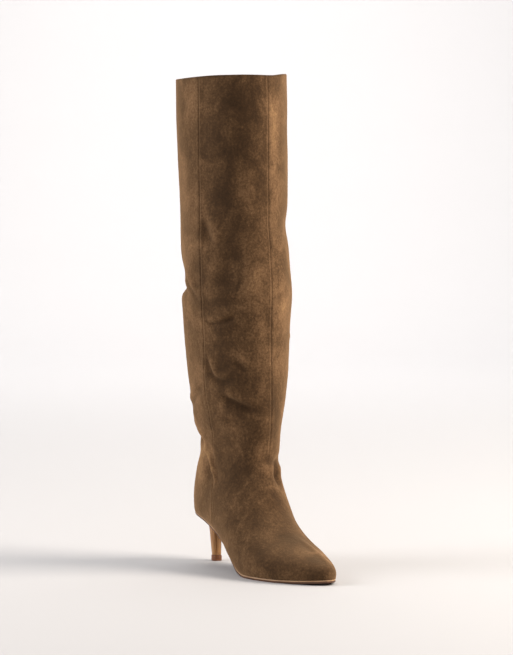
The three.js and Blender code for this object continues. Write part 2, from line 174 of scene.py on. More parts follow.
# side seam: row and share of the way from the front to the back
seamPath = [(0, 0.79), (10.9, 0.79), (11.5, 0.59), (12.2, 0.50), (13, 0.45), (14.5, 0.425), (16, 0.455),
            (17.5, 0.49), (19, 0.452), (21, 0.42), (27, 0.386)]
seamStart = 10.9
collarWave = [(-1, 0), (-0.55, -1.0), (-0.3, -0.8), (-0.1, -1.6), (0.02, -2.4), (0.07, -2.2), (0.16, -0.3),
              (0.26, 0.8), (0.5, 0), (1, 0)]  # mm up and down along the top edge
footEnd = len(footRows)
legStart = footEnd + len(ankleRows)
lastRow = legStart + len(legRows) - 1


def soleLine(x):  # underside of the upper; x from the back of the counter
    x = np.asarray(x, dtype=float)
    length = form["footLength"]
    tread = form["treadThick"] + form["clearance"]
    slope = math.tan(math.radians(form["seatPitch"]))
    front, back, seat = (form[name] * length for name in ("treadFront", "treadBack", "seatFront"))
    onSeat = form["seatHeight"] - slope * x
    s = np.clip((back - x) / (back - seat), 0, 1)
    rise = form["seatHeight"] - slope * seat - tread
    arch = tread + rise * s * s * (3 - 2 * s) + slope * (back - seat) * s * s * (s - 1)
    toe = tread + form["toeSpring"] * np.clip((x - front) / (length - front), 0, 2) ** 2
    return np.where(x <= seat, onSeat, np.where(x < back, arch, toe))


def soleThick(x):
    seat, back = form["seatFront"] * form["footLength"], form["treadBack"] * form["footLength"]
    return form["waistThick"] + (form["treadThick"] - form["waistThick"]) * smoothStep(x, seat, back)


def rowTable():
    length, half, high = form["footLength"], form["ballWidth"] / 2, form["instepHeight"]
    table = []
    for back, front, up, outer, inner, shift, *shape, under in footRows:
        backUp = float(soleLine(back * length)) - under * form["treadThick"]
        table.append((back * length, backUp, front * length, up * high, outer * half, inner * half,
                      shift * 2 * half, *shape, 0))
    for back, backUp, front, up, outer, inner, shift, *shape in ankleRows:
        table.append((back * length, backUp * high, front * length, up * high, outer * half, inner * half,
                      shift * 2 * half, *shape, 0))
    for level, slope, back, front, width in legRows:
        z = form["legFoot"] + level * (form["backHeight"] - form["legFoot"])
        tilt = slope * (front - back) * length / 2
        wide = width * form["collarWidth"] / 2
        table.append((back * length, z - tilt, front * length, z + tilt, wide, wide,
                      form["legShift"] * 2 * half, 0.5, 2, 2, level))
    return np.array(table)


rows = rowTable()


def bend(a, b, c, d, f):  # a smooth curve from b to c
    return b + 0.5 * f * (c - a + f * (2 * a - 5 * b + 4 * c - d + f * (3 * (b - c) + d - a)))


def rowAt(t):  # a smooth curve through the rows
    i = min(int(t), lastRow - 1)
    return bend(*(rows[min(max(i + k, 0), lastRow)] for k in (-1, 0, 1, 2)), t - i)


class Slice:  # one slice, measured by the share of the way round each half from the front to the back
    def __init__(self, t):
        bx, bz, fx, fz, outer, inner, shift, widest, crown, base, leg = rowAt(t)
        angle = np.linspace(0, math.pi, 161)
        upper = angle <= math.pi / 2
        power = 2 / np.where(upper, crown, base)
        along = np.abs(np.cos(angle)) ** power
        up = np.where(upper, widest + (1 - widest) * along, widest * (1 - along))
        across = np.abs(np.sin(angle)) ** power
        self.half, self.outer, self.inner = (outer + inner) / 2, outer, inner
        self.x, self.z, self.across = bx + (fx - bx) * up, bz + (fz - bz) * up, across
        step = np.sqrt(np.diff(self.x) ** 2 + np.diff(self.z) ** 2 + np.diff(across * self.half) ** 2)
        run = np.concatenate([[0], np.cumsum(step)])
        self.girth, self.share = run[-1], run / run[-1]
        self.shift, self.leg, self.t = shift, max(leg, 0), t
        above = self.z - soleLine(self.x)
        under = np.nonzero(above < 0)[0]
        self.feather = None
        if len(under) and t < footEnd + 2:
            k = under[0]
            self.feather = float(np.interp(0, [above[k], above[k - 1]], [self.share[k], self.share[k - 1]]))

    def place(self, around):  # around: from -1, the back, over the outer side to 0, the front, and on to 1
        vamp = form["vampRow"]
        offset = form["frontSeamOffset"] / self.girth * smoothStep(self.t, vamp - 2, vamp + 1)
        turned = around + offset * np.maximum(1 - np.abs(around) / seamShare(self.t), 0)
        share = np.abs(turned)
        side = np.where(turned < 0, -1.0, 1.0)
        x = np.interp(share, self.share, self.x)
        z = np.interp(share, self.share, self.z)
        y = np.interp(share, self.share, self.across) * np.where(turned < 0, self.outer, self.inner)
        z = z + form["collarRise"] * self.leg ** 2 * (1 - smoothStep(share, 0, 0.8))
        wave = np.interp(turned, [p[0] for p in collarWave], [p[1] for p in collarWave])
        z = z + wave * mm * smoothStep(self.t, lastRow - 1.2, lastRow)
        y = side * y + self.shift
        if self.feather is not None:  # past the feather line the upper is turned in under the foot
            over = share > self.feather
            xf = np.interp(self.feather, self.share, self.x)
            yf = np.interp(self.feather, self.share, self.across)
            yf = side * yf * np.where(turned < 0, self.outer, self.inner) + self.shift
            part = np.clip((share - self.feather) / (1 - self.feather), 0, 1)
            x = np.where(over, xf, x)
            y = np.where(over, yf * (1 - part) + self.shift * part, y)
            z = np.where(over, soleLine(xf), z)
        return np.stack([x - form["heelTip"], y, z], axis=-1)


def seamShare(t):
    return float(np.interp(t, [p[0] for p in seamPath], [p[1] for p in seamPath]))


# feather line in plan, both sides, from the toe to the middle of the back
featherX, featherOut, featherIn = [], [], []
for t in np.arange(0, footEnd + 2, 0.05):
    cut = Slice(t)
    if cut.feather is None:
        featherEnd = t
        break
    xf = float(np.interp(cut.feather, cut.share, cut.x))
    yf = float(np.interp(cut.feather, cut.share, cut.across))
    featherX.append(xf)
    featherOut.append(-yf * cut.outer + cut.shift)
    featherIn.append(yf * cut.inner + cut.shift)
featherX.append(featherX[-1] - 0.0004)
featherOut.append(cut.shift)
featherIn.append(cut.shift)


soleLook = {"stations": 90, "columns": 16, "ends": 0.04, "thinnest": 0.0005, "toeCurve": (0.155, 0.25)}


def soleOutline(inset):  # stations from the toe to the back with both edges, moved in by inset
    edges = []
    for side, edge in ((-1, featherOut), (1, featherIn)):
        points = np.stack([featherX, edge], axis=-1)
        run = np.gradient(points, axis=0)
        run[-1] = (0, -side)
        run /= np.linalg.norm(run, axis=1, keepdims=True)
        edges.append(points + inset * side * np.stack([-run[:, 1], run[:, 0]], axis=-1))
    low = max(edges[0][-1, 0], edges[1][-1, 0])
    middle = form["ballWidth"] * footRows[0][5] * smoothStep(edges[0][:, 0], *soleLook["toeCurve"])
    thin = soleLook["thinnest"]
    clear = (edges[0][:, 1] < middle - thin) & (edges[1][:, 1] > middle + thin)
    first = np.argmax(clear)
    high = min(edges[0][first, 0], edges[1][first, 0])
    share = (1 - np.cos(np.linspace(soleLook["ends"], math.pi - soleLook["ends"], soleLook["stations"]))) / 2
    xs = high + (low - high) * share
    clear[-1] = True
    outer, inner = (np.interp(xs, edge[clear][::-1, 0], edge[clear][::-1, 1]) for edge in edges)
    return xs, outer, inner


print("form worked out")


# Materials
def newMaterial(name):
    material = bpy.data.materials.new(name)
    material.use_nodes = True
    return material, material.node_tree.nodes["Principled BSDF"]


def addNode(material, kind, links=None, **settings):  # links: from an input to (node, output) or to a value
    node = material.node_tree.nodes.new(kind)
    for name, value in settings.items():
        setattr(node, name, value)
    for key, value in (links or {}).items():
        if isinstance(value, tuple) and isinstance(value[0], bpy.types.Node):
            material.node_tree.links.new(value[0].outputs[value[1]], node.inputs[key])
        else:
            node.inputs[key].default_value = value
    return node


def wire(material, node, output, shader, socket):
    material.node_tree.links.new(node.outputs[output], shader.inputs[socket])


def ramp(material, source, output, stops):  # a stop is a place and a colour or a level of grey
    node = addNode(material, "ShaderNodeValToRGB", {0: (source, output)})
    band = node.color_ramp
    while len(band.elements) < len(stops):
        band.elements.new(0.5)
    for element, (place, colour) in zip(band.elements, stops):
        element.position = place
        element.color = linear(colour) if isinstance(colour, str) else [colour] * 3 + [1.0]
    return node


def noiseOf(material, source, scale, detail, **more):
    links = {"Vector": source, "Scale": scale, "Detail": detail, **more}
    return addNode(material, "ShaderNodeTexNoise", links)


def reckon(material, operation, *inputs, **settings):
    return addNode(material, "ShaderNodeMath", dict(enumerate(inputs)), operation=operation, **settings)


def cover(material, shader, colour, roughness, height=None, strength=0.0, distance=0.0002):
    wire(material, *colour, shader, "Base Color")
    shader.inputs["Roughness"].default_value = roughness
    if height:
        links = {"Strength": strength, "Distance": distance, "Height": height}
        wire(material, addNode(material, "ShaderNodeBump", links), 0, shader, "Normal")


def grainyMaterial(name, scale, detail, stops, roughness, strength=0.0, distance=0.0002):
    material, shader = newMaterial(name)
    place = addNode(material, "ShaderNodeTexCoord")
    grain = noiseOf(material, (place, "Object"), scale, detail)
    height = (grain, 0) if strength else None
    cover(material, shader, (ramp(material, grain, 0, stops), 0), roughness, height, strength, distance)
    return material


def suedeMaterial():
    # Brushed split-leather suede: soaks up light face on and glows softly where the nap stands against the
    # light.
    # Its colour mixes darker and paler patches of nap with painted highlights and painted shade, is darker in
    # the folds as painted shade, and lighter on their crests, partly rubbed nap and partly painted highlight.
    # the palest tone is reached both by raised nap and by the painted highlights
    look = {"deep": "#2e2014", "dark": "#3f2c1c", "mid": "#533c27", "light": "#71543a", "palest": "#93714d",
            "level": 0.45, "patches": 1.25, "streaks": 0.25, "nap": 0.85, "stroked": 0.2, "folds": 0.26,
            "backPart": 0.05, "stitchLong": 3.0, "seamReach": 6.0}  # the last two in mm
    material, shader = newMaterial("brushedSuede")
    place = addNode(material, "ShaderNodeTexCoord")
    upright = addNode(material, "ShaderNodeMapping", {"Vector": (place, "Object"), "Scale": (1, 1, 0.7)})
    fine = addNode(material, "ShaderNodeMapping", {"Vector": (place, "Object"), "Scale": (1, 1, 0.55)})
    patches = noiseOf(material, (upright, 0), 34, 4.0, Roughness=0.65, Distortion=0.6)
    streaks = noiseOf(material, (fine, 0), 210, 3.0, Roughness=0.6)
    # the nap is about 0.8 mm long and is drawn at 2 mm so that it shows
    nap = noiseOf(material, (place, "Object"), 430, 3.0, Roughness=0.7)
    # two readings carry painted light: the nap patches hold painted highlights and painted shade, and the
    # folds hold painted shade in the valleys and lighter crests
    stroked, folded, backPart, seamGap, seamRun, seamShow = (
        addNode(material, "ShaderNodeAttribute", attribute_name=name)
        for name in ("stroked", "crease", "backPart", "seamGap", "seamRun", "seamShow"))
    level = look["level"] - 0.5 * (look["patches"] + look["streaks"] + look["nap"])
    value = reckon(material, "MULTIPLY_ADD", (stroked, "Fac"), look["stroked"], level)
    for source, name in ((patches, "patches"), (streaks, "streaks"), (nap, "nap"), (folded, "folds"),
                         (backPart, "backPart")):
        value = reckon(material, "MULTIPLY_ADD", (source, "Fac"), look[name], (value, 0))
    colour = ramp(material, value, 0, [(0.0, look["deep"]), (0.28, look["dark"]), (0.48, look["mid"]),
                                       (0.72, look["light"]), (1.0, look["palest"])])
    # seams: a fine dark groove, and a row of small stitches on each side of it
    nearSeam = reckon(material, "MULTIPLY", (seamGap, "Fac"), 1 / look["seamReach"])
    groove = ramp(material, nearSeam, 0, [(0.0, 0.5), (0.08, 0.5), (0.2, 0.0)])
    stitchRows = ramp(material, nearSeam, 0, [(0.36, 0.0), (0.43, 0.45), (0.5, 0.45), (0.57, 0.0)])
    phase = reckon(material, "MULTIPLY", (seamRun, "Fac"), 2 * math.pi / look["stitchLong"])
    beat = reckon(material, "SINE", (phase, 0))
    stitch = reckon(material, "MULTIPLY_ADD", (beat, 0), 0.3, 0.7)
    seam = reckon(material, "MULTIPLY_ADD", (stitchRows, 0), (stitch, 0), (groove, 0), use_clamp=True)
    stitched = reckon(material, "MULTIPLY", (seam, 0), (seamShow, "Fac"))
    sewn = addNode(material, "ShaderNodeMix", {0: (stitched, 0), 6: (colour, 0), 7: linear(look["deep"])},
                   data_type="RGBA")
    height = reckon(material, "MULTIPLY_ADD", (stitched, 0), -0.5, (value, 0))
    cover(material, shader, (sewn, 2), 0.95, (height, 0), 0.5, 0.0006)
    shader.inputs["Specular IOR Level"].default_value = 0.1
    shader.inputs["Sheen Weight"].default_value = 0.8
    shader.inputs["Sheen Roughness"].default_value = 0.5
    shader.inputs["Sheen Tint"].default_value = linear("#cfa67a")
    return material


def soleMaterial():
    # Thin leather-board outsole: smooth, slightly waxy, pale tan along the top of its edge, with painted
    # shade below it: the lower part of the edge and the underside are dark brown.
    material, shader = newMaterial("leatherboardPaintedShade")
    place = addNode(material, "ShaderNodeTexCoord")
    cloud = noiseOf(material, (place, "Object"), 60, 5.0)
    fine = noiseOf(material, (place, "Object"), 900, 3.0)
    depth = addNode(material, "ShaderNodeAttribute", attribute_name="depth")
    pale = ramp(material, cloud, 0, [(0.3, "#a98059"), (0.7, "#c9a37a")])
    # painted shade: the dark brown of the lower part of the edge and of the underside
    paintedShadeBrown = ramp(material, cloud, 0, [(0.3, "#482b19"), (0.7, "#654027")])
    below = ramp(material, depth, "Fac", [(0.3, 0.0), (0.42, 1.0)])
    colour = addNode(material, "ShaderNodeMix", {0: (below, 0), 6: (pale, 0), 7: (paintedShadeBrown, 0)},
                     data_type="RGBA")
    cover(material, shader, (colour, 2), 0.5, (fine, 0), 0.2)
    return material


def sockMaterial():
    # Coated lining leather on the insole: smooth with a fine grain, pale beige.
    material, shader = newMaterial("sockLeather")
    place = addNode(material, "ShaderNodeTexCoord")
    grain = addNode(material, "ShaderNodeTexVoronoi", {"Vector": (place, "Object"), "Scale": 900})
    cloud = noiseOf(material, (place, "Object"), 40, 4.0)
    colour = ramp(material, cloud, 0, [(0.3, "#b59a76"), (0.7, "#cbb391")])
    cover(material, shader, (colour, 0), 0.6, (grain, 0), 0.25)
    return material


def heelMaterial():
    # Moulded ABS heel with a wood-grain wrap under a satin lacquer: upright streaks in warm tan.
    material, shader = newMaterial("lacqueredGrainHeel")
    place = addNode(material, "ShaderNodeTexCoord")
    upright = addNode(material, "ShaderNodeMapping", {"Vector": (place, "Object"), "Scale": (1, 1, 0.06)})
    grain = noiseOf(material, (upright, 0), 650, 4.0, Roughness=0.6, Distortion=0.3)
    colour = ramp(material, grain, 0, [(0.34, "#7a5027"), (0.5, "#a06d38"), (0.66, "#be894b")])
    cover(material, shader, (colour, 0), 0.38, (grain, 0), 0.12)
    shader.inputs["Coat Weight"].default_value = 0.25
    shader.inputs["Coat Roughness"].default_value = 0.25
    return material


suede = suedeMaterial()
# warp-knit textile lining: thin, matt, a tone darker than the suede
lining = grainyMaterial("knitLining", 1400, 2.0, [(0.35, "#4a3828"), (0.65, "#5d4733")], 0.9, 0.3, 0.0003)
# cut and folded edge of the suede at the collar: compressed nap, darker
foldedEdge = grainyMaterial("foldedSuedeEdge", 700, 2.0, [(0.35, "#33251a"), (0.65, "#4a3625")], 0.9)
print("materials made")

# Upper
upperLook = {
    "rings": 280, "frontColumns": 30, "backColumns": 20, "marginColumns": 16,
    "seamOffsets": [0.6, 1.4, 2.3, 3.4, 5.0],  # mm from a seam, close columns that carry its shape
    "seamRoom": 1.3,  # the side seam keeps this many close columns' width from the feather line
    "fullGirth": 0.09,  # metres; slices smaller round have their close columns closer
    "backEnd": 3,  # mm from the middle of the back, where the foot's layout turns in above the feather line
    "layoutFade": 1.6,  # rows over which the columns of the foot pass into those of the leg
    "grooveDeep": 0.45, "grooveWide": 0.7, "weltHigh": 0.5, "weltWide": 1.6, "weltAt": 2.1,  # mm
    "puckerHigh": 0.16, "puckerWide": 4.5, "puckerLong": 0.011,  # the last and the next line in metres
    "slack": 0.0020, "slackSize": 0.075, "ripple": 0.0005, "rippleSize": 0.022,
    "edgeRound": 0.5,  # mm
    "frontShow": 0.65, "sideShow": (0.35, 0.4), "showRows": (18, 23),  # how strongly the seams show
}

# Folds placed one by one, in mm in the boot's own frame: the path of the valley, how deep and wide it is, the
# roll beside it, and the shares of the path over which it fades in and out. The roll lies to the left of the
# path as seen from outside, so above it where the path runs forwards on the outer side; a minus sign puts it
# on the right. A minus sign on the depth makes the valley a ridge.
usualFold = {"roll": 0.0, "fade": (0.3, 0.3)}
folds = {
    "hollow above the pinch": {"deep": 4.6, "wide": 15.0, "fade": (0.3, 0.45),
     "path": [(-32, 2, 314), (-26, -18, 314), (-14, -34, 314), (6, -47, 313), (21, -50, 311),
              (34, -51, 305)]},
    "pinch behind the calf": {"deep": 4.4, "wide": 6.0, "roll": -0.4, "fade": (0.3, 0.45),
     "path": [(-31, 2, 304), (-25, -18, 303), (-14, -34, 301), (6, -47, 299), (21, -50, 294), (34, -51, 288),
              (47, -50, 282)]},
    "edge of the pinch": {"deep": 1.4, "wide": 3.0, "roll": 1.2, "fade": (0.2, 0.5),
     "path": [(6, -47, 320), (21, -50, 311), (34, -51, 299), (47, -50, 289), (60, -47, 286)]},
    "band under the calf": {"deep": 1.3, "wide": 5, "roll": 0.9, "fade": (0.2, 0.2),
     "path": [(47, -50, 288), (64, -45, 286), (82, -32, 288), (99, 0, 291)]},
    "slack stroke on the calf": {"deep": 2.4, "wide": 6, "roll": 1.8,
     "path": [(53, -48, 378), (59, -47, 362), (64, -45, 345)]},
    "hollow of the calf": {"deep": 2.0, "wide": 13, "roll": 0.5,
     "path": [(82, -32, 350), (83, -32, 325), (82, -34, 295)]},
    "soft crease on the shin": {"deep": 2.4, "wide": 3.0, "roll": 1.4, "fade": (0.3, 0.2),
     "path": [(53, -48, 267), (65, -44, 264), (75, -39, 266), (83, -34, 269), (90, -27, 274)]},
    "faint crease below the shin": {"deep": 1.0, "wide": 3.5, "roll": 0.7, "fade": (0.4, 0.4),
     "path": [(62, -43, 247), (72, -38, 244), (84, -29, 247)]},
    "crease beside the lower shin": {"deep": 1.5, "wide": 3.0, "roll": 1.0,
     "path": [(85, -30, 226), (91, -24, 220), (95, -18, 212)]},
    "short crease above the ankle": {"deep": 2.1, "wide": 3.2, "roll": 1.4, "fade": (0.2, 0.3),
     "path": [(54, -46, 231), (58, -44, 219), (65, -41, 207), (77, -35, 203), (88, -27, 205)]},
    "slanting fold above the ankle": {"deep": 3.4, "wide": 4.2, "roll": 1.3,
     "path": [(68, -37, 191), (78, -31, 184), (90, -20, 177), (100, -3, 169)]},
    "lower edge of the slanting fold": {"deep": 1.4, "wide": 4, "roll": -1.2, "fade": (0.4, 0.4),
     "path": [(62, -38, 165), (76, -30, 160), (90, -18, 158)]},
    "puff at the back of the ankle": {"deep": 2.0, "wide": 4, "roll": 1.8, "fade": (0.1, 0.4),
     "path": [(8, -30, 172), (22, -40, 181), (34, -43, 186), (46, -43, 192)]},
    "tuck behind the ankle": {"deep": 3.6, "wide": 4.5, "roll": 2.8,
     "path": [(-7, 16, 147), (-8, 4, 149), (-4, -13, 148), (7, -25, 144), (22, -32, 134), (34, -34, 124)]},
    "raised puff above the tuck": {"deep": -2.6, "wide": 9, "fade": (0.3, 0.4),
     "path": [(-4, -13, 161), (7, -27, 161), (20, -38, 159), (34, -40, 154)]},
    "ridge down to the counter": {"deep": -3.0, "wide": 2.4, "roll": -1.6, "fade": (0.25, 0.35),
     "path": [(24, -33, 133), (40, -33, 120), (46, -32, 107), (52, -31, 96), (55, -31, 82)]},
    "hollow beside the ridge": {"deep": 1.8, "wide": 6, "fade": (0.3, 0.4),
     "path": [(18, -30, 124), (32, -31, 112), (39, -31, 98), (44, -31, 82)]},
    "front of the ankle": {"deep": 2.2, "wide": 5, "roll": -1.4,
     "path": [(94, -12, 122), (99, 0, 120), (98, 12, 118), (88, 24, 117), (70, 36, 118)]},
    "fold down the instep": {"deep": 5.0, "wide": 4.5, "roll": 1.2, "fade": (0.5, 0.5),
     "path": [(84, 26, 121), (93, 18, 112), (99, 15, 101), (104, 17, 89), (107, 20, 81)]},
    "waist of the leg in front": {"deep": 3.0, "wide": 16,
     "path": [(100, -12, 370), (99, 8, 370), (88, 36, 369), (66, 54, 368), (40, 61, 368), (14, 57, 368)]},
    "fullness of the shin": {"deep": -2.2, "wide": 24,
     "path": [(103, -6, 300), (100, 16, 300), (86, 42, 298), (66, 54, 296), (42, 60, 296)]},
    "crown of the toe": {"deep": -1.5, "wide": 4, "fade": (0.4, 0.3),
     "path": [(152, 4, 45), (176, 8, 36), (195, 9, 30), (212, 8, 24), (225, 6, 16)]},
    "inner slanting fold, upper": {"deep": 3.2, "wide": 4.5, "roll": -2.0,
     "path": [(72, 46, 176), (47, 49, 190), (20, 44, 200)]},
    "inner slanting fold, lower": {"deep": 3.2, "wide": 4.5, "roll": -2.0,
     "path": [(68, 43, 154), (44, 44, 166), (22, 40, 176)]},
    "inner pinch of the calf": {"deep": 3.2, "wide": 7, "roll": -2.0, "fade": (0.4, 0.1),
     "path": [(62, 55, 298), (38, 59, 306), (12, 54, 314), (-6, 44, 318)]},
    "inner crease of the shin": {"deep": 1.8, "wide": 4, "roll": -1.2,
     "path": [(72, 50, 258), (46, 56, 252)]},
    "inner tuck at the ankle": {"deep": 3.2, "wide": 4.5, "roll": -2.4, "fade": (0.3, 0.2),
     "path": [(42, 42, 120), (24, 40, 132), (8, 33, 142), (-7, 16, 147)]},
    "soft crease at the back of the calf": {"deep": 1.6, "wide": 6, "roll": 1.0, "fade": (0.4, 0.4),
     "path": [(-10, 42, 262), (-20, 22, 256), (-23, -2, 254), (-16, -26, 258)]},
    "soft crease low on the back": {"deep": 1.8, "wide": 5, "roll": 1.2, "fade": (0.4, 0.4),
     "path": [(10, 38, 196), (-6, 24, 190), (-12, 4, 188), (-6, -18, 192)]},
}

# Patches where the nap lies flat, darker, or stands up, lighter, mixed with painted light: painted highlights
# along the lit edges of the leg, on the ridge down to the counter and on the crest of the toe, and painted
# shade along the top of the vamp and down the middle of the leg. Place, how far round and up, all in mm, and
# how much.
napPatchesAndPaintedLight = [
    (78, -31, 505, 17, 14, -0.9), (87, -19, 475, 14, 24, -0.7), (85, -25, 448, 20, 13, -0.8),
    (93, -9, 435, 8, 8, -0.9), (53, -47, 442, 9, 6, -0.6), (74, -37, 405, 12, 26, -0.6),
    (83, -31, 341, 11, 15, -1.0), (83, -33, 310, 12, 15, -0.8), (59, -44, 234, 10, 19, -0.5),
    (87, -26, 205, 10, 7, -0.7), (90, -18, 169, 16, 8, -0.5), (92, -12, 143, 15, 14, -0.3),
    (86, -20, 107, 18, 13, -0.4), (52, -33, 73, 14, 14, -0.5), (104, -31, 61, 22, 11, -0.4),
    (154, -30, 31, 26, 12, -0.4), (198, -21, 17, 22, 9, -0.4), (92, 16, 478, 12, 34, 1.2),
    (93, 20, 411, 12, 24, 0.6), (91, -15, 403, 16, 16, 0.4), (100, 1, 320, 14, 24, 0.7),
    (97, 23, 288, 14, 34, 0.5), (97, -11, 246, 13, 16, 0.4), (98, 17, 224, 14, 34, 0.4),
    (32, -51, 362, 14, 44, 0.3), (27, -41, 179, 14, 16, 0.4), (100, 4, 160, 6, 24, 0.4),
    (190, 17, 28, 8, 7, 1.9), (209, 14, 22, 7, 7, 2.0), (20, -32, 118, 12, 12, 0.5),
    (98, 24, 300, 9, 190, 0.35), (78, -34, 320, 9, 150, -0.3), (106, 20, 80, 7, 8, 0.9),
    (102, 12, 290, 8, 60, 0.6), (98, 14, 452, 8, 50, 0.8), (14, -31, 96, 18, 24, 1.3),
    (28, -32, 124, 13, 15, 1.9), (97, -3, 243, 8, 26, 0.9), (0, -36, 440, 18, 60, 0.3),
    (97, 18, 148, 9, 28, -1.4), (98, 21, 190, 9, 26, -1.0), (118, 10, 80, 13, 12, -1.2),
    (138, 8, 58, 16, 11, -1.8), (166, 6, 41, 15, 8, -1.6), (200, -3, 27, 9, 5, -0.8),
    (27, -34, 130, 5, 5, 1.2), (37, -33, 118, 5, 5, 1.2), (45, -32, 107, 5, 6, 1.2),
    (51, -31, 95, 4, 8, 1.0), (134, -42, 22, 20, 12, 0.3), (41, -35, 147, 12, 12, 0.3),
    (42, 58, 470, 18, 30, -0.7), (62, 50, 400, 16, 22, 0.4), (22, 55, 350, 20, 26, -0.5),
    (32, 55, 230, 16, 30, -0.5), (207, -2, 25, 9, 6, -1.4), (163, -6, 42, 10, 8, -1.0),
    (99, -5, 130, 7, 10, 1.2), (101, -4, 194, 7, 12, 1.1), (101, -1, 258, 6, 12, 1.1),
    (93, -21, 322, 7, 12, 1.0), (90, -24, 353, 7, 12, 0.9), (44, -32, 126, 7, 9, 1.2),
    (93, -3, 513, 8, 10, -1.1), (85, -25, 449, 8, 10, -0.9), (-24, 8, 440, 18, 30, -0.5),
    (-22, -8, 360, 16, 26, 0.4), (-18, 6, 290, 18, 24, -0.5), (-10, 0, 210, 16, 20, -0.4),
    (62, 44, 120, 18, 16, -0.4), (122, 34, 50, 22, 14, -0.4), (-14, 0, 90, 14, 14, 0.2),
    (172, 26, 26, 18, 10, 0.3),
]


def curveThrough(points, steps):  # a smooth run of points through the given ones
    points = np.array(points, dtype=float)
    ends = np.vstack([2 * points[0] - points[1], points, 2 * points[-1] - points[-2]])
    made = [points[0]]
    for four in zip(ends[:-3], ends[1:-2], ends[2:-1], ends[3:]):
        for f in np.arange(1, steps + 1) / steps:
            made.append(bend(*four, f))
    return np.array(made)


def ringPlaces(count):  # rings an even way apart, and one more just below the collar
    fine = np.linspace(0, lastRow, 700)
    marks = np.array([-0.8, -0.5, -0.2, 0.0, 0.2, 0.5, 0.8])
    cuts = np.array([Slice(t).place(marks) for t in fine])
    moved = np.linalg.norm(np.diff(cuts, axis=0), axis=2)
    run = np.concatenate([[0], np.cumsum(0.5 * moved.max(axis=1) + 0.5 * moved.mean(axis=1) + 1e-5)])
    places = np.interp(np.linspace(0, run[-1], count - 1), run, fine)
    return np.concatenate([[0, 0.3, 0.7, 1.1], places[(places > 1.3) & (places < lastRow - 0.05)],
                           [lastRow - 0.02, lastRow]])


def halfColumns(cut):  # shares of one half: close at the seams and at the feather line
    tight = min(1.0, cut.girth / upperLook["fullGirth"])
    offsets = [o * mm * tight / cut.girth for o in upperLook["seamOffsets"]]
    feather = cut.feather if cut.feather is not None else 1 - upperLook["backEnd"] * mm / cut.girth
    seam = min(seamShare(cut.t), feather - upperLook["seamRoom"] * offsets[-1])
    frontPart = np.linspace(offsets[-1], seam - offsets[-1], upperLook["frontColumns"] + 2)[1:-1]
    bySeam = [seam - o for o in offsets[::-1]] + [seam] + [seam + o for o in offsets]
    shares = [0.0] + offsets + list(frontPart) + bySeam
    count, more = upperLook["backColumns"], upperLook["marginColumns"]
    backPart = np.linspace(shares[-1], feather, count + 1)[1:]
    marginPart = np.linspace(feather, 1.0, more)[1:]
    turnedIn = np.concatenate([backPart, marginPart])
    if cut.feather is not None:
        return np.concatenate([shares, turnedIn])
    even = list(np.linspace(shares[-1], 1 - offsets[-1], count + more - len(offsets))[1:-1])
    even = np.array(even + [1 - o for o in offsets[::-1]] + [1.0])
    blend = float(smoothStep(cut.t, featherEnd, featherEnd + upperLook["layoutFade"]))
    return np.concatenate([shares, turnedIn * (1 - blend) + even * blend])


places = ringPlaces(upperLook["rings"])
slices = [Slice(t) for t in places]
halves = [halfColumns(cut) for cut in slices]
columnCount = 2 * len(halves[0]) - 1
grid = np.array([cut.place(np.concatenate([-half[::-1], half[1:]])) for cut, half in zip(slices, halves)])

bpy.ops.mesh.primitive_grid_add(x_subdivisions=columnCount - 1, y_subdivisions=len(grid) - 1, size=1)
upper = bpy.context.object
upper.name = "suede_upper"
flat = getPoints(upper)
column = np.rint((flat[:, 0] + 0.5) * (columnCount - 1)).astype(int)
ring = np.rint((flat[:, 1] + 0.5) * (len(grid) - 1)).astype(int)

# directions straight out of the wrapped surface
alongBoot = np.gradient(grid, axis=0)
closed = np.concatenate([grid[:, -2:-1], grid, grid[:, 1:2]], axis=1)
outward = np.cross((closed[:, 2:] - closed[:, :-2]) / 2, alongBoot)
outward = outward / np.maximum(np.linalg.norm(outward, axis=2, keepdims=True), 1e-9)
leg = places > footEnd
if np.sum(outward[leg] * (grid[leg] - grid[leg].mean(axis=1, keepdims=True))) < 0:
    outward = -outward

# seams: up the front from above the vamp, up both sides and up the back of the leg
girth = np.array([cut.girth for cut in slices])[:, None]
around = np.array([np.concatenate([-half[::-1], half[1:]]) for half in halves])
sideAt = np.array([seamShare(t) for t in places])[:, None]
featherAt = np.array([cut.feather if cut.feather is not None else 2.0 for cut in slices])[:, None]
onSole = np.abs(around) > featherAt + 0.001
apart = 0.04  # metres, far enough to stand for no seam
vamp = form["vampRow"]
gapFront = np.abs(around) * girth + apart * (1 - smoothStep(places, vamp - 0.3, vamp + 0.3)[:, None])
gapSide = np.abs(np.abs(around) - sideAt) * girth + np.where(places > seamStart, 0, apart)[:, None]
gapBack = (1 - np.abs(around)) * girth + np.where(places > footEnd, 0, apart)[:, None]
gap = np.minimum(np.minimum(gapSide, gapBack), gapFront) / mm
frontLine = grid[:, columnCount // 2]
seamRun = np.cumsum(np.linalg.norm(np.diff(frontLine, axis=0, prepend=frontLine[:1]), axis=1))[:, None] / mm
pucker = np.sin(seamRun * mm / upperLook["puckerLong"] * 2 * math.pi)
# the front seam shows more and more above the vamp, the others more above the ankle
showFront = upperLook["frontShow"] * smoothStep(places, vamp, vamp + 3.5)[:, None]
low, more = upperLook["sideShow"]
showSide = low + more * smoothStep(places, *upperLook["showRows"])[:, None]
seamShow = np.where(gapFront < gapSide, showFront, showSide)
lift = (upperLook["weltHigh"] * np.exp(-((gap - upperLook["weltAt"]) / upperLook["weltWide"]) ** 2)
        - upperLook["grooveDeep"] * np.exp(-(gap / upperLook["grooveWide"]) ** 2)
        + upperLook["puckerHigh"] * pucker * np.exp(-(gap / upperLook["puckerWide"]) ** 2)) * seamShow * mm

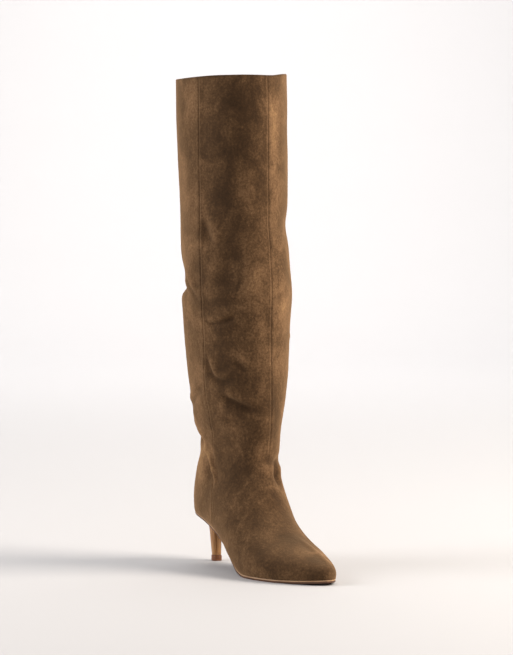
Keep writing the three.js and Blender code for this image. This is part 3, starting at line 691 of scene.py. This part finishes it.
# slack of the soft leg, broad and fine
legHere = smoothStep(places, footEnd + 1, legStart)[:, None]
softHere = 0.35 + 0.65 * smoothStep(places, footEnd - 2, footEnd + 2)[:, None]
for amount, size, here in ((upperLook["slack"], upperLook["slackSize"], legHere),
                           (upperLook["ripple"], upperLook["rippleSize"], softHere)):
    wander = np.array([[noise.noise(Vector((p[0], p[1], 0.6 * p[2])) / size) for p in line] for line in grid])
    lift += wander * amount * here

# the roll beside a valley and the lower one on its other side, in widths of the fold
ridge = {"at": 1.9, "wide": 1.2, "otherHigh": 0.4, "otherAt": 2.2, "otherWide": 1.5}
crease = np.zeros(grid.shape[:2])
for fold in folds.values():
    fold = {**usualFold, **fold}
    path = curveThrough(fold["path"], 5) * mm
    spans = np.linalg.norm(np.diff(path, axis=0), axis=1)
    total, done = spans.sum(), 0.0
    best = np.full(grid.shape[:2], 1e9)
    signed = np.zeros(grid.shape[:2])
    where = np.zeros(grid.shape[:2])
    for start, end, span in zip(path[:-1], path[1:], spans):
        direction = (end - start) / span
        local = grid - start
        reach = np.clip(local @ direction, 0, span)
        away = local - reach[..., None] * direction
        distance = np.linalg.norm(away, axis=2)
        sideways = np.sum(np.cross(outward, direction) * away, axis=2)
        near = distance < best
        best = np.where(near, distance, best)
        signed = np.where(near, np.sign(sideways) * distance, signed)
        where = np.where(near, (done + reach) / total, where)
        done += span
    strength = smoothStep(where, 0, fold["fade"][0]) * (1 - smoothStep(where, 1 - fold["fade"][1], 1))
    off = signed / (fold["wide"] * mm) * (-1 if fold["roll"] < 0 else 1)
    valley = np.exp(-off ** 2)
    roll = np.exp(-((off - ridge["at"]) / ridge["wide"]) ** 2)
    roll += ridge["otherHigh"] * np.exp(-((off + ridge["otherAt"]) / ridge["otherWide"]) ** 2)
    sign = -1 if fold["deep"] < 0 else 1
    lift += (abs(fold["roll"]) * sign * roll - fold["deep"] * valley) * strength * mm
    # the suede reads this as painted shade in each valley and a lighter line on the roll beside it, partly
    # rubbed nap and partly painted highlight
    sharp = min(abs(fold["deep"]) / 3, 1) * min(5 / fold["wide"], 1) * sign
    crest = 0.6 * np.exp(-((off - ridge["at"]) / 1.1) ** 2)
    crease += sharp * (crest - np.exp(-(off / 0.9) ** 2)) * strength

lift = np.where(onSole, 0.0, lift)
lift *= 1 - 0.35 * smoothStep(places, lastRow - 0.5, lastRow)[:, None]
lift[-1] -= upperLook["edgeRound"] * mm
shaped = grid + outward * lift[..., None]
shaped[0] = shaped[0].mean(axis=0) + (0.0003, 0, 0)  # the toe closes in a point
setPoints(upper, shaped[ring, column])

# values that the suede reads: distance from a seam and along it in mm, the folds with their painted shade and
# lighter crests, and patches of nap with painted highlights and painted shade among them
toCollar = np.linalg.norm(grid - grid[-1:], axis=2) / mm
# the suede is also darker in a narrow line along the top edge of the collar
crease -= np.exp(-(toCollar / 1.2) ** 2)
stroked = np.zeros(grid.shape[:2])
# patches of nap, and among them painted highlights and painted shade
for x, y, z, wideRound, wideUp, amount in napPatchesAndPaintedLight:
    level = np.hypot(grid[..., 0] - x * mm, grid[..., 1] - y * mm) / (wideRound * mm)
    stroked += amount * np.exp(-level ** 2 - ((grid[..., 2] - z * mm) / (wideUp * mm)) ** 2)
backPart = smoothStep(np.abs(around) - sideAt, -0.004, 0.004)
backPart *= smoothStep(places, seamStart + 0.6, footEnd)[:, None]
readings = {"seamGap": np.minimum(gap, 12), "seamRun": np.broadcast_to(seamRun, gap.shape), "crease": crease,
            "stroked": stroked, "backPart": backPart, "seamShow": seamShow}
for name, values in readings.items():
    setReading(upper, name, values[ring, column])


# open it under the foot, further in than the lasting margin
def marginOf(cut):  # share of the way from the feather line to the middle
    if cut.feather is None:
        return 9.0
    outer, inner = cut.place(np.array([-cut.feather, cut.feather]))[:, 1]
    return form["margin"] / max(abs(outer - inner) / 2, 1e-4)


marginShare = np.array([marginOf(cut) for cut in slices])[:, None]
inShare = np.array([form["margin"] / max(abs(cut.place(np.array([-(cut.feather or 1)]))[0, 1]
                                               - cut.place(np.array([(cut.feather or 1)]))[0, 1]) / 2, 1e-4)
                        if cut.feather is not None else 9.0 for cut in slices])[:, None]
inShare = (np.abs(around) - featherAt) / np.maximum(1 - featherAt, 1e-6)
cutAway = (inShare > marginShare) & (featherAt < 1.5)
pickOnly(upper)
enter("EDIT")
bpy.ops.mesh.select_mode(type="VERT")
bpy.ops.mesh.select_all(action="DESELECT")
enter("OBJECT")
upper.data.vertices.foreach_set("select", cutAway[ring, column])
enter("EDIT")
bpy.ops.mesh.delete(type="VERT")
bpy.ops.mesh.select_all(action="SELECT")
bpy.ops.mesh.remove_doubles(threshold=0.00002)
turnFacesOut(upper)
for material in (suede, lining, foldedEdge):
    upper.data.materials.append(material)
shellCount = len(upper.data.vertices)
useModifier(upper, "SOLIDIFY", thickness=form["wall"], offset=-1, use_even_offset=False,
            use_quality_normals=True, material_offset=1, material_offset_rim=2)
# in the very tip of the toe, and where a point by its feather line would turn outwards, the lining is laid
# inwards, towards a line through the middle of the toe
toeLining = {"startsBehindTip": 0.003, "middle": (0.0039, 0.0100), "tipLong": 0.005, "backTo": 0.15,
             "nearest": 0.8, "leastInward": 0.45}
points = getPoints(upper)
skinPart, liningPart = points[:shellCount], points[shellCount:]
tipEnd = skinPart[:, 0].max()
inward = np.array([tipEnd - toeLining["startsBehindTip"], *toeLining["middle"]]) - skinPart
inward[:, 0] = np.minimum(inward[:, 0], 0)
far = np.maximum(np.linalg.norm(inward, axis=1, keepdims=True), 1e-6)
inward *= np.minimum(form["wall"] / far, toeLining["nearest"])
laid = np.sum((liningPart - skinPart) * inward, axis=1)
astray = (laid < toeLining["leastInward"] * form["wall"] ** 2) & (skinPart[:, 0] > toeLining["backTo"])
layAgain = (skinPart[:, 0] > tipEnd - toeLining["tipLong"]) | astray
liningPart[layAgain] = skinPart[layAgain] + inward[layAgain]
setPoints(upper, points)
shadeSmooth(upper, 50)
layDown(upper)
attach(upper, "root")
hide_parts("upper")
print("upper made", len(upper.data.polygons), "faces")


# Sole pieces
def makePlate(name, inset, lowOf, highOf, edgeRound):
    xs, outer, inner = soleOutline(inset)
    last = len(xs) - 1
    bpy.ops.mesh.primitive_grid_add(x_subdivisions=last, y_subdivisions=soleLook["columns"], size=1)
    plate = bpy.context.object
    plate.name = name
    points = getPoints(plate)
    station = last - np.rint((points[:, 0] + 0.5) * last).astype(int)
    x = xs[station]
    y = outer[station] + (inner[station] - outer[station]) * (points[:, 1] + 0.5)
    setPoints(plate, np.stack([x - form["heelTip"], y, highOf(x)], axis=-1))
    pickOnly(plate)
    enter("EDIT")
    bpy.ops.mesh.select_all(action="SELECT")
    bpy.ops.mesh.extrude_region_move(TRANSFORM_OT_translate={"value": (0, 0, -0.001)})
    enter("OBJECT")
    moved = np.array([v.select for v in plate.data.vertices])
    points = getPoints(plate)
    points[moved, 2] = lowOf(points[moved, 0] + form["heelTip"])
    setPoints(plate, points)
    turnFacesOut(plate)
    roundEdges(plate, edgeRound, 2)
    shadeSmooth(plate, 40)
    layDown(plate)
    return plate


gapSize = form["clearance"]
outsoleLook = {"inset": 0.0004, "edgeRound": 0.0005}
outsole = makePlate("outsole_leatherboard", outsoleLook["inset"],
                    lambda x: soleLine(x) - gapSize - soleThick(x),
                    lambda x: soleLine(x) - gapSize, outsoleLook["edgeRound"])
points = getPoints(outsole)
station = points[:, 0] + form["heelTip"]
# 0 at the top face, 1 at the bottom; the sole paints shade on the lower part from this
setReading(outsole, "depth", (soleLine(station) - gapSize - points[:, 2]) / soleThick(station))
outsole.data.materials.append(soleMaterial())
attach(outsole, "root")
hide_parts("outsole")

sockLook = {"inset": 0.0036, "thick": 0.002, "edgeRound": 0.0007}
sockLow = form["wall"] + gapSize
sock = makePlate("sock", sockLook["inset"], lambda x: soleLine(x) + sockLow,
                 lambda x: soleLine(x) + sockLow + sockLook["thick"], sockLook["edgeRound"])
sock.data.materials.append(sockMaterial())
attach(sock, "root")
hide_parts("insole")
print("sole and sock made")

# Heel and top-piece
heelLook = {
    "points": 48, "side": -0.001, "foot": 0.0063, "frontSquare": 3.4,
    "tip": (0.0, 0.0106, 0.0090), "top": (-0.0043, 0.018, 0.0155),  # centre, length and width
    "taper": [(0, 1), (0.1, 0.94), (0.2, 0.85), (0.35, 0.62), (0.5, 0.4), (0.7, 0.28), (0.85, 0.14), (1, 0)],
    "edgeRound": 0.0003, "liftHigh": 0.006, "liftEdge": 0.0006, "liftRound": 0.0005,
}


def heelOutline(centre, long, wide, angle):
    c, s = np.cos(angle), np.sin(angle)
    power = np.where(c > 0, 2 / heelLook["frontSquare"], 1)
    return centre + np.sign(c) * np.abs(c) ** power * long / 2, np.sign(s) * np.abs(s) ** power * wide / 2


def makeColumn(name, levels):  # levels: height, centre, length, width
    count = heelLook["points"]
    bpy.ops.mesh.primitive_circle_add(vertices=count, radius=levels[0][2] / 2, fill_type="NGON",
                                      location=(levels[0][1], heelLook["side"], levels[0][0]))
    piece = bpy.context.object
    piece.name = name
    layDown(piece)
    enter("EDIT")
    bpy.ops.mesh.select_mode(type="FACE")
    bpy.ops.mesh.select_all(action="SELECT")
    for low, high in zip(levels[:-1], levels[1:]):
        step = (high[1] - low[1], 0, high[0] - low[0])
        bpy.ops.mesh.extrude_region_move(TRANSFORM_OT_translate={"value": step})
        bpy.ops.transform.resize(value=(high[2] / low[2], high[2] / low[2], 1),
                                 center_override=(high[1], heelLook["side"], high[0]))
    turnFacesOut(piece)
    points = getPoints(piece)
    for height, centre, long, wide in levels:
        here = np.abs(points[:, 2] - height) < 1e-5
        angle = np.arctan2(points[here, 1] - heelLook["side"], points[here, 0] - centre)
        points[here, 0], across = heelOutline(centre, long, wide, angle)
        points[here, 1] = across + heelLook["side"]
    setPoints(piece, points)
    return piece


tip, top = heelLook["tip"], heelLook["top"]
levels = []
for down, flare in heelLook["taper"]:
    height = form["seatHeight"] + (heelLook["foot"] - form["seatHeight"]) * down
    centre = tip[0] + (top[0] - tip[0]) * (1 - down)
    levels.append((height, centre, tip[1] + (top[1] - tip[1]) * flare, tip[2] + (top[2] - tip[2]) * flare))
heel = makeColumn("grain_heel", levels[::-1])
points = getPoints(heel)
station = points[:, 0] + form["heelTip"]
roof = soleLine(station) - soleThick(station) - 2 * gapSize
rise = (points[:, 2] - heelLook["foot"]) / (form["seatHeight"] - heelLook["foot"])
points[:, 2] -= (form["seatHeight"] - roof) * rise ** 3  # its top is cupped to lie under the seat
setPoints(heel, points)
roundEdges(heel, heelLook["edgeRound"], 2)
shadeSmooth(heel, 45)
heel.data.materials.append(heelMaterial())
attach(heel, "root")
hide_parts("heel")

liftSize = (tip[0], tip[1] + 2 * heelLook["liftEdge"], tip[2] + 2 * heelLook["liftEdge"])
topPiece = makeColumn("top_piece", [(0.0, *liftSize), (heelLook["liftHigh"], *liftSize)])
roundEdges(topPiece, heelLook["liftRound"], 3)
shadeSmooth(topPiece, 45)
# moulded polyurethane top-piece: dense, dull, reddish brown, evenly mottled
topPiece.data.materials.append(
    grainyMaterial("mouldedTopPiece", 500, 4.0, [(0.35, "#6b3c1c"), (0.7, "#8a5428")], 0.5, 0.2))
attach(topPiece, "root")
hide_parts("top_lift")
print("heel made")

# Floor and light
stage = {
    "floor": "#c9c7c6", "floorWide": 12, "floorLong": 6.5, "floorFront": 3.6,
    "bendParts": 8, "bendStep": 0.2, "wallHigh": 4,
    "right": 82, "left": 31, "front": 4, "back": 22, "wall": 56, "world": 0.34,
    "lampsAim": (0.05, 0, 0.25), "wallAimBack": 3.8, "wallAimHigh": 0.4,
}

bpy.ops.mesh.primitive_plane_add(size=1, location=(0, 0, 0))
floor = bpy.context.object
floor.name = "studio_floor"
behind = -towards
for vertex in floor.data.vertices:
    across = vertex.co.x * stage["floorWide"]
    deep = (vertex.co.y + 0.5) * stage["floorLong"] - stage["floorFront"]
    vertex.co = rightward * across + behind * deep
enter("EDIT")
bpy.ops.mesh.select_mode(type="EDGE")
bpy.ops.mesh.select_all(action="DESELECT")
enter("OBJECT")
for line in floor.data.edges:
    ends = [floor.data.vertices[i].co for i in line.vertices]
    line.select = all(end.dot(behind) > 2 for end in ends)
enter("EDIT")
for part in range(stage["bendParts"]):
    lean = math.radians(90 * (part + 0.5) / stage["bendParts"])
    step = (behind * math.cos(lean) + Vector((0, 0, math.sin(lean)))) * stage["bendStep"]
    bpy.ops.mesh.extrude_region_move(TRANSFORM_OT_translate={"value": step})
bpy.ops.mesh.extrude_region_move(TRANSFORM_OT_translate={"value": (0, 0, stage["wallHigh"])})
enter("OBJECT")
floor.data.polygons.foreach_set("use_smooth", [True] * len(floor.data.polygons))
paper, paperShader = newMaterial("backdropPaper")
paperShader.inputs["Base Color"].default_value = linear(stage["floor"])
paperShader.inputs["Roughness"].default_value = 0.8
paperShader.inputs["Specular IOR Level"].default_value = 0.1
floor.data.materials.append(paper)


def addLight(name, side, near, high, size, power, colour):
    bpy.ops.object.light_add(type="AREA", location=rightward * side + towards * near + Vector((0, 0, high)))
    lamp = bpy.context.object
    lamp.name = name
    lamp.rotation_euler = (Vector(stage["lampsAim"]) - lamp.location).to_track_quat("-Z", "Y").to_euler()
    lamp.data.size = size
    lamp.data.energy = power
    lamp.data.color = linear(colour)[:3]
    return lamp


addLight("right_softbox", 2.0, 0.3, 1.5, 1.3, stage["right"], "#fff6ec")
addLight("left_softbox", -1.9, 0.2, 1.1, 1.3, stage["left"], "#fdfcff")
addLight("front_softbox", 0.4, 2.6, 1.9, 1.2, stage["front"], "#fffdfa")
addLight("back_softbox", 0.2, -1.1, 2.4, 1.8, stage["back"], "#ffffff")
wallLight = addLight("wall_light", 0.0, -2.7, 2.2, 1.6, stage["wall"], "#fdfdff")
wallAim = Vector((0, 0, stage["wallAimHigh"])) + behind * stage["wallAimBack"]
wallLight.rotation_euler = (wallAim - wallLight.location).to_track_quat("-Z", "Y").to_euler()
world = bpy.data.worlds.new("studio")
bpy.context.scene.world = world
world.use_nodes = True
world.node_tree.nodes["Background"].inputs["Color"].default_value = linear("#fdfdff")
world.node_tree.nodes["Background"].inputs["Strength"].default_value = stage["world"]
bpy.context.scene.view_settings.view_transform = "Standard"
print("studio set")
